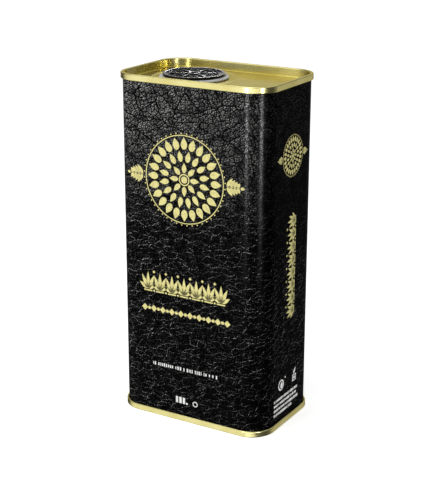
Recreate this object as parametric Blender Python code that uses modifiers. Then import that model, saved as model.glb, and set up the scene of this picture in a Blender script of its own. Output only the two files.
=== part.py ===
"""Flat rectangular powder tin with a rotary sifter closure.

A tinplate body is closed by two double-seamed ends.  The top end carries a
plastic sifter base that snaps into a round hole, and a dial that snaps into
the base and turns through a stop of 30 degrees to line up their holes.
Metres, +Z up.  The origin is the middle of the footprint, on the lower seam.
"""

import math

import bmesh
import bpy
from mathutils import Matrix

# Overall sizes, measured over the seams
HEIGHT = 0.1530
SEAM_WIDTH = 0.0749
SEAM_DEPTH = 0.0498
SEAM_CORNER = 0.0110

# Sheet and double seam
SHEET = 0.00025
LAP = 0.00005  # clearance between touching layers of sheet
SEAM_HEIGHT = 0.00275
HOOK_CLEARANCE = 0.0003  # below the body hook's tip
CREST_BEND = 0.00025  # radius at the middle of the sheet
COMPOUND_HEIGHT = 0.000285
COMPOUND_GAP = 0.00004
CORNER_STEPS = 6
BEND_STEPS = 4

# Countersunk panels of both ends
PANEL_DEPTH = 0.0036
GROOVE_DEPTH = 0.0041
GROOVE_BEND = 0.00035
CHUCK_DRAFT = 0.00012  # how far the chuck wall leans in over its height
RAMP_WIDTH = 0.0008
PANEL_STEP_INSET = 0.0060  # expansion step of the bottom panel
PANEL_STEP = 0.0004
PANEL_STEP_WIDTH = 0.0010

# Side seam of the body, a welded lap on the left side
SIDE_LAP_WIDTH = 0.0010
SIDE_LAP_PROUD = 0.00012
SIDE_LAP_Y = 0.0100
SIDE_LAP_BITE = 0.00010
WELD = 0.000001

# Closure
CLOSURE_FROM_SIDE = 0.02525  # its axis from the body's left face
ROUND_STEPS = 40
CLEARANCE = 0.0002
HOLE_RADIUS = 0.0124  # inside the turned-down lip of the top panel
LIP_DROP = 0.0009
LIP_BEND = 0.0005
BEAD_OFFSET = 0.0061  # middle of the bead from the hole's edge
BEAD_WIDTH = 0.0026
BEAD_HEIGHT = 0.00035

FLANGE_REACH = 0.00265  # how far the base covers the panel round the hole
SHOULDER_WIDTH = 0.00115
BASE_RISE = 0.0010  # deck above the panel
BASE_EDGE = 0.0004
DECK = 0.0012
SKIRT = 0.00095
SKIRT_DROP = 0.0045
SNAP_PROUD = 0.0008
SNAP_HEIGHT = 0.0008

DIAL_INSET = 0.0004  # the dial's edge from the base's shoulder
DIAL_RISE = 0.0010  # rim above the underside
DIAL_PLATE = 0.0005
DIAL_EDGE = 0.0002
RIM_WIDTH = 0.0012
HUB_RADIUS = 0.0030
HUB_DIMPLE_RADIUS = 0.0015
HUB_DIMPLE = 0.0004
HUB_RISE = 0.00045
RIB_WIDTH = 0.0009
RIB_RISE = 0.0003

SIFTER_HOLES = 6
SIFTER_HOLE_RADIUS = 0.0015
SIFTER_INSET = 0.00495  # the pitch circle from the hole's edge
SIFTER_HOLE_STEPS = 12
TURN = math.radians(30.0)

STEM_RADIUS = 0.00155
BARB_PROUD = 0.0006
BARB_HEIGHT = 0.0012
STEM_TIP = 0.0003  # how far the barb's tip draws in from the stem
STEM_SLOT = 0.0006
STOP_INSET = 0.0016  # the stop's middle from the hole's edge
STOP_SIZE = 0.0016
STOP_DROP = 0.0007
STOP_FLOOR = 0.00035  # left under the stop's pocket

# Worked out from the sizes above
PITCH = SHEET + LAP
SEAM_PROUD = 3 * PITCH
BODY_HALF_X = SEAM_WIDTH / 2 - SEAM_PROUD
BODY_HALF_Y = SEAM_DEPTH / 2 - SEAM_PROUD
BODY_CORNER = SEAM_CORNER - SEAM_PROUD
WALL = -SHEET / 2  # middle of the body wall, outset from the body's face
CHUCK = WALL - PITCH
COVER = WALL + PITCH
HOOK = WALL + 2 * PITCH
OUTER = WALL + 3 * PITCH
ARCH_DEPTH = SHEET + LAP + SHEET / 2 + PITCH  # centre of the body hook's bend
COMPOUND_DEPTH = ARCH_DEPTH + COMPOUND_HEIGHT
COVER_TIP_DEPTH = COMPOUND_DEPTH + COMPOUND_GAP
BODY_TIP_DEPTH = SEAM_HEIGHT - SHEET - HOOK_CLEARANCE
PANEL_TOP = HEIGHT - PANEL_DEPTH
CLOSURE_X = CLOSURE_FROM_SIDE - BODY_HALF_X
BEAD_RADIUS = HOLE_RADIUS + BEAD_OFFSET
BASE_RADIUS = HOLE_RADIUS + FLANGE_REACH
BASE_SHOULDER = BASE_RADIUS - SHOULDER_WIDTH
DECK_TOP = BASE_RISE  # heights in the closure are above the panel
DECK_UNDER = DECK_TOP - DECK
DIAL_RADIUS = BASE_SHOULDER - DIAL_INSET
DIAL_UNDERSIDE = DECK_TOP + CLEARANCE
DIAL_FACE = DIAL_UNDERSIDE + DIAL_PLATE
SIFTER_PITCH_RADIUS = HOLE_RADIUS - SIFTER_INSET
STOP_RADIUS = HOLE_RADIUS - STOP_INSET

PARTS_NAME = "powder_tin"
CUTTERS_NAME = "cutters"


def clear_scene():
    for item in list(bpy.data.objects):
        bpy.data.objects.remove(item, do_unlink=True)


def make_collection(name):
    collection = bpy.data.collections.new(name)
    bpy.context.scene.collection.children.link(collection)
    return collection


def make_material(name, colour, roughness, metallic=0.0):
    material = bpy.data.materials.new(name)
    material.use_nodes = True
    shader = material.node_tree.nodes["Principled BSDF"]
    shader.inputs["Base Color"].default_value = (*colour, 1.0)
    shader.inputs["Roughness"].default_value = roughness
    shader.inputs["Metallic"].default_value = metallic
    return material


def make_object(name, bm, collection, material=None, location=(0.0, 0.0, 0.0)):
    mesh = bpy.data.meshes.new(name)
    bm.to_mesh(mesh)
    bm.free()
    item = bpy.data.objects.new(name, mesh)
    item.location = location
    collection.objects.link(item)
    if material:
        mesh.materials.append(material)
    return item


def arc(centre, radius, start, end, steps=BEND_STEPS):
    """Points on an arc of a profile; the angles are in degrees."""
    points = []
    for step in range(steps + 1):
        angle = math.radians(start + (end - start) * step / steps)
        points.append(
            (centre[0] + radius * math.cos(angle), centre[1] + radius * math.sin(angle))
        )
    return points


def outline(outset):
    """The body's rounded outline, moved out by outset."""
    points = []
    radius = BODY_CORNER + outset
    for quarter in range(4):
        side_x = 1 if quarter in (0, 3) else -1
        side_y = 1 if quarter in (0, 1) else -1
        centre = (side_x * (BODY_HALF_X - BODY_CORNER), side_y * (BODY_HALF_Y - BODY_CORNER))
        points += arc(centre, radius, quarter * 90, quarter * 90 + 90, CORNER_STEPS)
    return points


def wrap(bm, loops):
    """Bends a grid of faces round the axis through loops of (flat points, height)."""
    columns = len(loops[0][0])
    made = bmesh.ops.create_grid(
        bm, x_segments=len(loops) - 1, y_segments=columns, size=0.5
    )
    for vert in made["verts"]:
        points, height = loops[round((vert.co.x + 0.5) * (len(loops) - 1))]
        x, y = points[round((vert.co.y + 0.5) * columns) % columns]
        vert.co = (x, y, height)
    bmesh.ops.remove_doubles(bm, verts=made["verts"], dist=WELD)


def sweep(bm, profile, closed=False):
    """Runs a profile of (outset, height) round the tin."""
    rows = profile + profile[:1] if closed else profile
    wrap(bm, [(outline(outset), height) for outset, height in rows])


def turn_panel(bm, profile):
    """Turns a profile of (radius, height) about the closure's axis."""
    centre = (CLOSURE_X, 0.0)
    wrap(bm, [(arc(centre, radius, 0, 360, ROUND_STEPS)[:-1], z) for radius, z in profile])


def edges_at(bm, height):
    """The open edges that lie at one height."""
    return [
        edge
        for edge in bm.edges
        if edge.is_boundary and all(abs(vert.co.z - height) < WELD for vert in edge.verts)
    ]


def add_sheet(item):
    """Gives an open surface the sheet's thickness, half to each side."""
    thicken = item.modifiers.new("sheet", "SOLIDIFY")
    thicken.thickness = SHEET
    thicken.offset = 0.0
    thicken.use_even_offset = True


def stand_on_base(profile):
    """Turns (outset, depth from the crest) into (outset, height) at the lower end."""
    return list(profile)


def hang_from_top(profile):
    """The same at the upper end."""
    return [(outset, HEIGHT - depth) for outset, depth in profile]


def seam_profile():
    """An end's sheet from its hook over the crest and down to the panel's edge."""
    curl_depth = SEAM_HEIGHT - SHEET / 2 - PITCH
    crest_depth = SHEET / 2 + CREST_BEND
    groove = GROOVE_DEPTH + SHEET / 2
    foot = CHUCK - CHUCK_DRAFT
    panel = PANEL_DEPTH + SHEET / 2
    points = [(COVER, COVER_TIP_DEPTH)]
    points += arc((COVER + PITCH, curl_depth), PITCH, 180, 0)
    points += arc((OUTER - CREST_BEND, crest_depth), CREST_BEND, 0, -90, 3)
    points += arc((CHUCK + CREST_BEND, crest_depth), CREST_BEND, -90, -180, 3)
    points += arc((foot - GROOVE_BEND, groove - GROOVE_BEND), GROOVE_BEND, 0, 90, 3)
    ramp_start = foot - 1.5 * GROOVE_BEND
    for step in range(BEND_STEPS + 1):
        share = step / BEND_STEPS
        rise = (1 - math.cos(math.pi * share)) / 2
        points.append((ramp_start - RAMP_WIDTH * share, groove + (panel - groove) * rise))
    return points


def body_profile():
    """The body's sheet from one hook over the arch, down the wall to the other."""
    hook = [(HOOK, BODY_TIP_DEPTH)] + arc((WALL + PITCH, ARCH_DEPTH), PITCH, 0, -180)
    return hang_from_top(hook) + stand_on_base(hook)[::-1]


def make_body_shell(collection, cutters, material):
    bm = bmesh.new()
    sweep(bm, body_profile())
    bmesh.ops.recalc_face_normals(bm, faces=bm.faces)
    shell = make_object("body_shell", bm, collection, material)
    add_sheet(shell)
    lap = make_object("side_lap", box_mesh(
        SIDE_LAP_PROUD + SIDE_LAP_BITE,
        SIDE_LAP_WIDTH,
        HEIGHT - 2 * SEAM_HEIGHT - 2 * CLEARANCE,
    ), cutters)
    lap.location = (
        -BODY_HALF_X - (SIDE_LAP_PROUD - SIDE_LAP_BITE) / 2,
        SIDE_LAP_Y,
        HEIGHT / 2,
    )
    join(shell, lap, "UNION")
    return shell


def make_top_end(collection, material):
    bm = bmesh.new()
    sweep(bm, hang_from_top(seam_profile()))
    middle = PANEL_TOP - SHEET / 2
    lip_radius = HOLE_RADIUS + SHEET / 2
    rings = bead_profile(middle)
    rings += arc((lip_radius + LIP_BEND, middle - LIP_BEND), LIP_BEND, 90, 180, 3)
    rings.append((lip_radius, PANEL_TOP - LIP_DROP))
    turn_panel(bm, rings)
    bmesh.ops.triangle_fill(bm, edges=edges_at(bm, middle), use_beauty=True)
    bmesh.ops.recalc_face_normals(bm, faces=bm.faces)
    end = make_object("top_end", bm, collection, material)
    add_sheet(end)
    return end


def bead_profile(height):
    """The raised bead round the closure, from its outer edge inwards."""
    points = []
    for step in range(7):
        share = step / 6
        rise = BEAD_HEIGHT * math.sin(math.pi * share) ** 2
        points.append((BEAD_RADIUS + BEAD_WIDTH * (0.5 - share), height + rise))
    return points


def make_bottom_end(collection, material):
    bm = bmesh.new()
    profile = seam_profile()
    panel = PANEL_DEPTH + SHEET / 2
    step_start = -PANEL_STEP_INSET
    profile += [
        (step_start, panel),
        (step_start - PANEL_STEP_WIDTH, panel + PANEL_STEP),
    ]
    sweep(bm, stand_on_base(profile))
    bmesh.ops.edgeloop_fill(bm, edges=edges_at(bm, profile[-1][1]))
    bmesh.ops.recalc_face_normals(bm, faces=bm.faces)
    end = make_object("bottom_end", bm, collection, material)
    add_sheet(end)
    return end


def make_seam_compound(name, place, collection, material):
    """The lining compound in the void above the cover hook's tip."""
    near = COMPOUND_GAP
    far = SHEET + 2 * LAP - COMPOUND_GAP
    section = [
        (near, ARCH_DEPTH),
        (far, ARCH_DEPTH),
        (far, COMPOUND_DEPTH),
        (near, COMPOUND_DEPTH),
    ]
    bm = bmesh.new()
    sweep(bm, place(section), closed=True)
    bmesh.ops.recalc_face_normals(bm, faces=bm.faces)
    return make_object(name, bm, collection, material)


def box_mesh(size_x, size_y, size_z):
    bm = bmesh.new()
    bmesh.ops.create_cube(bm, size=1.0)
    bmesh.ops.scale(bm, vec=(size_x, size_y, size_z), verts=bm.verts)
    return bm


def cylinder_mesh(radius, height, steps, places):
    """Upright cylinders centred on each (x, y) of places, each with a flat towards +X."""
    bm = bmesh.new()
    turn = Matrix.Rotation(math.pi / steps, 3, "Z")
    for x, y in places:
        made = bmesh.ops.create_cone(
            bm, cap_ends=True, segments=steps, radius1=radius, radius2=radius, depth=height
        )
        bmesh.ops.rotate(bm, cent=(0.0, 0.0, 0.0), matrix=turn, verts=made["verts"])
        bmesh.ops.translate(bm, verts=made["verts"], vec=(x, y, 0.0))
    return bm


def turned(name, profile, closed, collection, material, location):
    """A profile of (radius, height) turned about Z, top to bottom on its outside."""
    bm = bmesh.new()
    verts = [bm.verts.new((radius, 0.0, height)) for radius, height in profile]
    for upper, lower in zip(verts, verts[1:]):
        bm.edges.new((upper, lower))
    if closed:
        bm.edges.new((verts[-1], verts[0]))
    item = make_object(name, bm, collection, material, location)
    screw = item.modifiers.new("turn", "SCREW")
    screw.steps = ROUND_STEPS
    screw.render_steps = ROUND_STEPS
    screw.use_merge_vertices = True
    screw.merge_threshold = 0.00001
    return item


def join(item, tool, operation):
    """Joins a tool object to a part or cuts it away, and hides the tool."""
    tool.hide_render = True
    tool.display_type = "WIRE"
    boolean = item.modifiers.new(tool.name, "BOOLEAN")
    boolean.operation = operation
    boolean.solver = "EXACT"
    boolean.object = tool


def hole_places(turn):
    """Centres of the sifter holes, with the first one turned from +X."""
    places = []
    for index in range(SIFTER_HOLES):
        angle = turn + 2 * math.pi * index / SIFTER_HOLES
        places.append(
            (SIFTER_PITCH_RADIUS * math.cos(angle), SIFTER_PITCH_RADIUS * math.sin(angle))
        )
    return places


def base_profile():
    """Section of the sifter base, from the deck's inner edge and round its outside."""
    skirt_outer = HOLE_RADIUS - CLEARANCE
    skirt_inner = skirt_outer - SKIRT
    stem_hole = STEM_RADIUS + CLEARANCE
    snap_top = -LIP_DROP - CLEARANCE
    snap_middle = snap_top - SNAP_HEIGHT / 2
    nose = BASE_RADIUS - BASE_SHOULDER
    points = [(stem_hole, DECK_TOP)]
    for x, z in arc((0.0, 0.0), 1.0, 90, 0, 4):
        points.append((BASE_SHOULDER + nose * x, BASE_EDGE + (DECK_TOP - BASE_EDGE) * z))
    points += [
        (BASE_RADIUS, CLEARANCE),
        (skirt_outer, CLEARANCE),
        (skirt_outer, snap_top),
        (skirt_outer + SNAP_PROUD, snap_middle),
        (skirt_outer, snap_top - SNAP_HEIGHT * 1.5),
        (skirt_outer, -SKIRT_DROP),
        (skirt_inner, -SKIRT_DROP),
        (skirt_inner, DECK_UNDER),
        (stem_hole, DECK_UNDER),
    ]
    return points


def pocket_mesh():
    """The arc that the dial's stop runs in, from closed to open."""
    half = math.degrees((STOP_SIZE / 2 + CLEARANCE) / STOP_RADIUS)
    reach = STOP_SIZE / 2 + CLEARANCE
    swing = math.degrees(TURN)
    outer = arc((0.0, 0.0), STOP_RADIUS + reach, -half, swing + half, 8)
    inner = arc((0.0, 0.0), STOP_RADIUS - reach, swing + half, -half, 8)
    bm = bmesh.new()
    bm.faces.new([bm.verts.new((x, y, DECK_UNDER + STOP_FLOOR)) for x, y in outer + inner])
    grown = bmesh.ops.extrude_face_region(bm, geom=list(bm.faces))
    raised = [part for part in grown["geom"] if isinstance(part, bmesh.types.BMVert)]
    bmesh.ops.translate(bm, verts=raised, vec=(0.0, 0.0, DECK))
    bmesh.ops.recalc_face_normals(bm, faces=bm.faces)
    return bm


def make_closure_base(collection, cutters, material, seat):
    base = turned("closure_base", base_profile(), True, collection, material, seat)
    holes = cylinder_mesh(SIFTER_HOLE_RADIUS, 4 * DECK, SIFTER_HOLE_STEPS, hole_places(TURN))
    join(base, make_object("stop_pocket", pocket_mesh(), cutters, None, seat), "DIFFERENCE")
    join(base, make_object("base_holes", holes, cutters, None, seat), "DIFFERENCE")
    return base


def dial_profile():
    """Section of the dial from the axis over its face, round its edge to the stem's tip."""
    rim_top = DIAL_UNDERSIDE + DIAL_RISE
    hub_top = DIAL_FACE + HUB_RISE
    barb_top = DECK_UNDER - CLEARANCE
    barb = STEM_RADIUS + BARB_PROUD
    return [
        (0.0, hub_top - HUB_DIMPLE),
        (HUB_DIMPLE_RADIUS, hub_top - HUB_DIMPLE),
        (HUB_DIMPLE_RADIUS + DIAL_EDGE, hub_top),
        (HUB_RADIUS, hub_top),
        (HUB_RADIUS + DIAL_EDGE, DIAL_FACE),
        (DIAL_RADIUS - RIM_WIDTH - 2 * DIAL_EDGE, DIAL_FACE),
        (DIAL_RADIUS - RIM_WIDTH, rim_top),
        (DIAL_RADIUS - DIAL_EDGE, rim_top),
        (DIAL_RADIUS, rim_top - DIAL_EDGE),
        (DIAL_RADIUS, DIAL_UNDERSIDE),
        (STEM_RADIUS, DIAL_UNDERSIDE),
        (STEM_RADIUS, barb_top),
        (barb, barb_top),
        (barb, barb_top - BARB_HEIGHT / 3),
        (STEM_RADIUS - STEM_TIP, barb_top - BARB_HEIGHT),
        (0.0, barb_top - BARB_HEIGHT),
    ]


def ribs_mesh():
    """Six ribs from the hub to the rim, each midway between two holes."""
    inner = HUB_RADIUS - DIAL_EDGE
    reach = DIAL_RADIUS - RIM_WIDTH + DIAL_EDGE - inner
    height = DIAL_PLATE / 2 + RIB_RISE
    middle = DIAL_FACE + RIB_RISE - height / 2
    bm = bmesh.new()
    for index in range(SIFTER_HOLES):
        made = bmesh.ops.create_cube(bm, size=1.0)
        verts = made["verts"]
        bmesh.ops.scale(bm, vec=(reach, RIB_WIDTH, height), verts=verts)
        bmesh.ops.translate(bm, vec=(inner + reach / 2, 0.0, middle), verts=verts)
        turn = Matrix.Rotation(math.pi * (2 * index + 1) / SIFTER_HOLES, 3, "Z")
        bmesh.ops.rotate(bm, cent=(0.0, 0.0, 0.0), matrix=turn, verts=verts)
    return bm


def stop_mesh():
    """The block under the dial that runs in the base's pocket."""
    bite = DIAL_PLATE / 2
    bm = box_mesh(STOP_SIZE, STOP_SIZE, STOP_DROP + bite)
    middle = DIAL_UNDERSIDE + (bite - STOP_DROP) / 2
    bmesh.ops.translate(bm, vec=(STOP_RADIUS, 0.0, middle), verts=bm.verts)
    return bm


def slot_mesh():
    """The cut that splits the stem, so that its barb springs through the base."""
    top = DECK_TOP - DECK / 2
    bottom = DECK_UNDER - CLEARANCE - 2 * BARB_HEIGHT
    bm = box_mesh(4 * (STEM_RADIUS + BARB_PROUD), STEM_SLOT, top - bottom)
    bmesh.ops.translate(bm, vec=(0.0, 0.0, (top + bottom) / 2), verts=bm.verts)
    return bm


def make_sifter_dial(collection, cutters, material, seat):
    dial = turned("sifter_dial", dial_profile(), False, collection, material, seat)
    holes = cylinder_mesh(SIFTER_HOLE_RADIUS, 4 * DECK, SIFTER_HOLE_STEPS, hole_places(0.0))
    join(dial, make_object("dial_ribs", ribs_mesh(), cutters, None, seat), "UNION")
    join(dial, make_object("dial_stop", stop_mesh(), cutters, None, seat), "UNION")
    join(dial, make_object("dial_holes", holes, cutters, None, seat), "DIFFERENCE")
    join(dial, make_object("stem_slot", slot_mesh(), cutters, None, seat), "DIFFERENCE")
    return dial


def shade(item):
    """Smooth faces with sharp edges where the surface turns by more than 30 degrees."""
    item.data.shade_smooth()
    item.data.set_sharp_from_angle(angle=math.radians(30.0))


def build():
    clear_scene()
    parts = make_collection(PARTS_NAME)
    cutters = make_collection(CUTTERS_NAME)
    printed = make_material("printed_tinplate", (0.012, 0.012, 0.013), 0.42)
    lacquer = make_material("gold_lacquer", (0.62, 0.50, 0.17), 0.28, 1.0)
    lining = make_material("lining_compound", (0.35, 0.34, 0.31), 0.7)
    natural = make_material("natural_plastic", (0.52, 0.53, 0.55), 0.45)
    black = make_material("black_plastic", (0.012, 0.012, 0.014), 0.25)
    seat = (CLOSURE_X, 0.0, PANEL_TOP)
    made = [
        make_body_shell(parts, cutters, printed),
        make_top_end(parts, lacquer),
        make_bottom_end(parts, lacquer),
        make_seam_compound("top_seam_compound", hang_from_top, parts, lining),
        make_seam_compound("bottom_seam_compound", stand_on_base, parts, lining),
        make_closure_base(parts, cutters, natural, seat),
        make_sifter_dial(parts, cutters, black, seat),
    ]
    for item in made:
        shade(item)


build()
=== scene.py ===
# %% [markdown]
# # A powder tin in black and gold
#
# A flat tin for powder is three pieces of thin steel: a body bent round to a tall box with soft
# corners, and two ends rolled onto it in double seams. A plastic sifter sits in the top end and
# turns to open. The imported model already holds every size, so this lesson gives each piece its
# fine shape and its finish, and asks the model for places instead of typing them in again.

# %% Load the model
import math
import random

import bmesh
import bpy
from mathutils import Matrix, Vector


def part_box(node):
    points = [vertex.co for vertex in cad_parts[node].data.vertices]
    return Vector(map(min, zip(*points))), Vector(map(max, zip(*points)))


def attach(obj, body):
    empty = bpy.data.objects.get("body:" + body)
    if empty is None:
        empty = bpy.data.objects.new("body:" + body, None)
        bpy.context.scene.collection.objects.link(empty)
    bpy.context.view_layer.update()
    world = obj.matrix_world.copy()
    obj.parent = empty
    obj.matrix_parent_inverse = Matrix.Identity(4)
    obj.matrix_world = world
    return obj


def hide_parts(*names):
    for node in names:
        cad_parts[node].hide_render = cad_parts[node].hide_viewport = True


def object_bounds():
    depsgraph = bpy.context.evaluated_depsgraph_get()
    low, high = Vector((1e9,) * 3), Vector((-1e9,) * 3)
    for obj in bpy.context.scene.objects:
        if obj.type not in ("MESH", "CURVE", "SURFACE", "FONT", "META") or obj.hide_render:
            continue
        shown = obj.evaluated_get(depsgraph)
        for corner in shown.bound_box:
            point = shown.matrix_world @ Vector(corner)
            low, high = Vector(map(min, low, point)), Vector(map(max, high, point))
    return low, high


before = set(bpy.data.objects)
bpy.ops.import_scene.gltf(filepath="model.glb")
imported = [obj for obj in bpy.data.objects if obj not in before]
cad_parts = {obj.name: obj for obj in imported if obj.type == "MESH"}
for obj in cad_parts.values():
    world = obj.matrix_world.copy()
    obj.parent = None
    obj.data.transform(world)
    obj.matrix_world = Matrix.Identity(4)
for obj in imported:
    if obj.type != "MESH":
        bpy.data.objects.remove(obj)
cad_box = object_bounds()

# %% [markdown]
# ## The camera
#
# The camera comes first, because every later choice is judged through it. It stands to the right
# of the front face and a little above the tin, with a long lens, which keeps the upright edges
# nearly parallel. The tiny roll is how a hand-set tripod really stands.

# %% Camera
AIM = Vector((0.00078, 0.00046, 0.07478))
AZIMUTH = math.radians(30.3985)
ELEVATION = math.radians(17.9783)
ROLL = math.radians(0.165)
DISTANCE = 0.54597

camera_data = bpy.data.cameras.new("camera")
camera_data.lens = 89.85
camera_data.clip_start = 0.01
camera = bpy.data.objects.new("camera", camera_data)
bpy.context.scene.collection.objects.link(camera)
camera.matrix_world = (
    Matrix.Translation(AIM)
    @ Matrix.Rotation(AZIMUTH, 4, "Z")
    @ Matrix.Rotation(math.pi / 2 - ELEVATION, 4, "X")
    @ Matrix.Translation((0.0, 0.0, DISTANCE))
    @ Matrix.Rotation(ROLL, 4, "Z")
)
bpy.context.scene.camera = camera
print("camera at", [round(value, 3) for value in camera.matrix_world.translation])

# %% [markdown]
# ## Sizes of the sheet
#
# Five layers of steel lie against each other in a double seam. Taking the layers off the tin's
# overall box gives the plane of the printed body, which the print then lies on. The closure's
# axis is read from the middle of the dial's box in the model.

# %% Sheet, outline and closure
SHEET = 0.00025
LAP = 0.00005  # air between layers of the seam
LAYER = SHEET + LAP
SEAM_HEIGHT = 0.00275
SEAM_PROUD = 3 * LAYER
HEIGHT = cad_box[1].z
HALF_X = cad_box[1].x - SEAM_PROUD
HALF_Y = cad_box[1].y - SEAM_PROUD
CORNER = 0.0110 - SEAM_PROUD
DECK_RISE = 0.0010  # the collar's top above the panel

collar_low, collar_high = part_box("closure_base")
dial_low, dial_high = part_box("sifter_dial")
AXIS = Vector(((dial_low.x + dial_high.x) / 2, (dial_low.y + dial_high.y) / 2, 0.0))
PANEL = collar_high.z - DECK_RISE
print(f"body {HALF_X * 2000:.2f} x {HALF_Y * 2000:.2f} mm, panel at {PANEL * 1000:.2f} mm")
print(f"closure axis at x {AXIS.x * 1000:.2f} y {AXIS.y * 1000:.2f} mm")

# %% [markdown]
# ## Helpers that most pieces share
#
# Each piece ends as an object at the origin, with its place in its mesh. Modifiers are applied at
# once, so what is measured here is what is drawn, and only edges that turn sharply stay crisp.

# %% From bmesh to a finished piece
SHARP = math.radians(30.0)
TOUCHING = 1e-6  # vertices nearer than this are one


def new_object(name, bm):
    """A new object in the scene from a bmesh, which is freed."""
    mesh = bpy.data.meshes.new(name)
    bm.to_mesh(mesh)
    bm.free()
    item = bpy.data.objects.new(name, mesh)
    bpy.context.scene.collection.objects.link(item)
    return item


def settle(item):
    """Applies the item's modifiers to its mesh."""
    bpy.context.view_layer.update()
    graph = bpy.context.evaluated_depsgraph_get()
    mesh = bpy.data.meshes.new_from_object(item.evaluated_get(graph))
    item.modifiers.clear()
    item.data = mesh


def thicken(item, thickness, offset):
    """Turns an open surface into a sheet."""
    solid = item.modifiers.new("sheet", "SOLIDIFY")
    solid.thickness = thickness
    solid.offset = offset
    solid.use_even_offset = True
    settle(item)


def finish_piece(item, finish, body, node=None):
    """Gives a piece its finish, hangs it on what it rides on, and hides the model's node it stands
    in for.
    """
    item.data.materials.clear()
    item.data.materials.append(finish.material)
    item.data.shade_smooth()
    item.data.set_sharp_from_angle(angle=SHARP)
    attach(item, body)
    if node:
        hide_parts(node)
    print(f"{item.name}: {len(item.data.polygons)} faces, rides on {body}")


# %% Sections and open edges
def arc(centre, radius, start, end, steps):
    """Points along an arc of a section; the angles are in degrees."""
    points = []
    for step in range(steps + 1):
        angle = math.radians(start + (end - start) * step / steps)
        points.append(
            (centre[0] + radius * math.cos(angle), centre[1] + radius * math.sin(angle))
        )
    return points


def chain(bm, points):
    """Vertices joined by edges, as the start of a spin or an extrusion."""
    verts = [bm.verts.new(point) for point in points]
    return verts + [bm.edges.new(pair) for pair in zip(verts, verts[1:])]


def parts(geom, kind):
    """Only the verts, edges or faces of an operator's result."""
    return [part for part in geom if isinstance(part, kind)]


def everything(bm):
    return bm.verts[:] + bm.edges[:] + bm.faces[:]


def open_edges(bm, height):
    """Edges of open rims that lie at one height."""
    return [
        edge
        for edge in bm.edges
        if len(edge.link_faces) < 2 and all(abs(v.co.z - height) < TOUCHING for v in edge.verts)
    ]


def tidy(bm):
    """Joins what touches and turns all faces outwards."""
    bmesh.ops.remove_doubles(bm, verts=bm.verts, dist=TOUCHING)
    bmesh.ops.recalc_face_normals(bm, faces=bm.faces)


# %% [markdown]
# ## Writing shader maths as expressions
#
# A procedural finish is mostly arithmetic on patterns. Nodes wired one by one hide the formula, so
# a small class wraps a socket and turns +, - and * into Math nodes. Everything else comes from one
# method that takes the node's type, its settings and its inputs.

# %% A socket with arithmetic
class Value:
    """A socket that can be added, subtracted and multiplied."""

    def __init__(self, board, socket):
        self.board = board
        self.socket = socket

    def __add__(self, other):
        return self.board.maths("ADD", self, other)

    def __radd__(self, other):
        return self.board.maths("ADD", other, self)

    def __sub__(self, other):
        return self.board.maths("SUBTRACT", self, other)

    def __rsub__(self, other):
        return self.board.maths("SUBTRACT", other, self)

    def __mul__(self, other):
        return self.board.maths("MULTIPLY", self, other)

    def __rmul__(self, other):
        return self.board.maths("MULTIPLY", other, self)

    def rise(self, start, end, low=0.0, high=1.0):
        """Goes smoothly from low to high while the value goes from start to end."""
        values = {"Value": self, "From Min": start, "From Max": end, "To Min": low, "To Max": high}
        settings = {"interpolation_type": "SMOOTHSTEP"}
        return self.board.node("ShaderNodeMapRange", settings, values)["Result"]


# %% A node tree that is being wired
class Board:
    """Adds nodes to a tree and joins them."""

    def __init__(self, tree):
        self.tree = tree

    def node(self, kind, settings=None, values=None):
        """Adds a node, sets it, feeds its inputs, and returns its outputs by name."""
        made = self.tree.nodes.new(kind)
        for name, setting in (settings or {}).items():
            setattr(made, name, setting)
        for key, value in (values or {}).items():
            self.feed(made.inputs[key], value)
        return {output.name: Value(self, output) for output in made.outputs if output.enabled}

    def feed(self, target, value):
        if isinstance(value, Value):
            self.tree.links.new(value.socket, target)
        else:
            target.default_value = value

    def maths(self, operation, *values):
        settings = {"operation": operation}
        return self.node("ShaderNodeMath", settings, dict(enumerate(values)))["Value"]

    def vector(self, operation, *values):
        settings = {"operation": operation}
        return self.node("ShaderNodeVectorMath", settings, dict(enumerate(values)))["Vector"]

    def mix(self, share, first, second):
        """A colour that goes from the first to the second."""
        values = {0: share, 6: first, 7: second}
        return self.node("ShaderNodeMix", {"data_type": "RGBA"}, values)["Result"]


# %% A finish is a board with a Principled shader
class Finish(Board):
    """A material whose patterns are laid out in the tin's own metres."""

    def __init__(self, name, **constants):
        self.material = bpy.data.materials.new(name)
        self.material.use_nodes = True
        super().__init__(self.material.node_tree)
        self.shader = self.tree.nodes["Principled BSDF"]
        self.set(**constants)
        self.place = self.node("ShaderNodeTexCoord")["Object"]
        self.along = self.node("ShaderNodeSeparateXYZ", None, {"Vector": self.place})

    def set(self, **inputs):
        for name, value in inputs.items():
            self.feed(self.shader.inputs[name.replace("_", " ")], value)

    def noise(self, size, detail=2.0, roughness=0.5, place=None, output="Fac"):
        """Noise whose blobs are about the given size across."""
        values = {"Vector": place or self.place, "Scale": 1.0 / size}
        values.update({"Detail": detail, "Roughness": roughness})
        return self.node("ShaderNodeTexNoise", None, values)[output]

    def cells(self, size, feature="F1", place=None, output="Distance"):
        """Voronoi cells about the given size across, flat where a place is given."""
        values = {"Vector": place or self.place, "Scale": 1.0 / size}
        settings = {"feature": feature, "voronoi_dimensions": "2D" if place else "3D"}
        return self.node("ShaderNodeTexVoronoi", settings, values)[output]

    def stretched(self, x=1.0, y=1.0, z=1.0):
        """The place with its axes scaled, for streaks."""
        return self.vector("MULTIPLY", self.place, (x, y, z))

    def bump(self, height, distance):
        values = {"Height": height, "Distance": distance, "Strength": 1.0}
        self.set(Normal=self.node("ShaderNodeBump", None, values)["Normal"])
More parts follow.
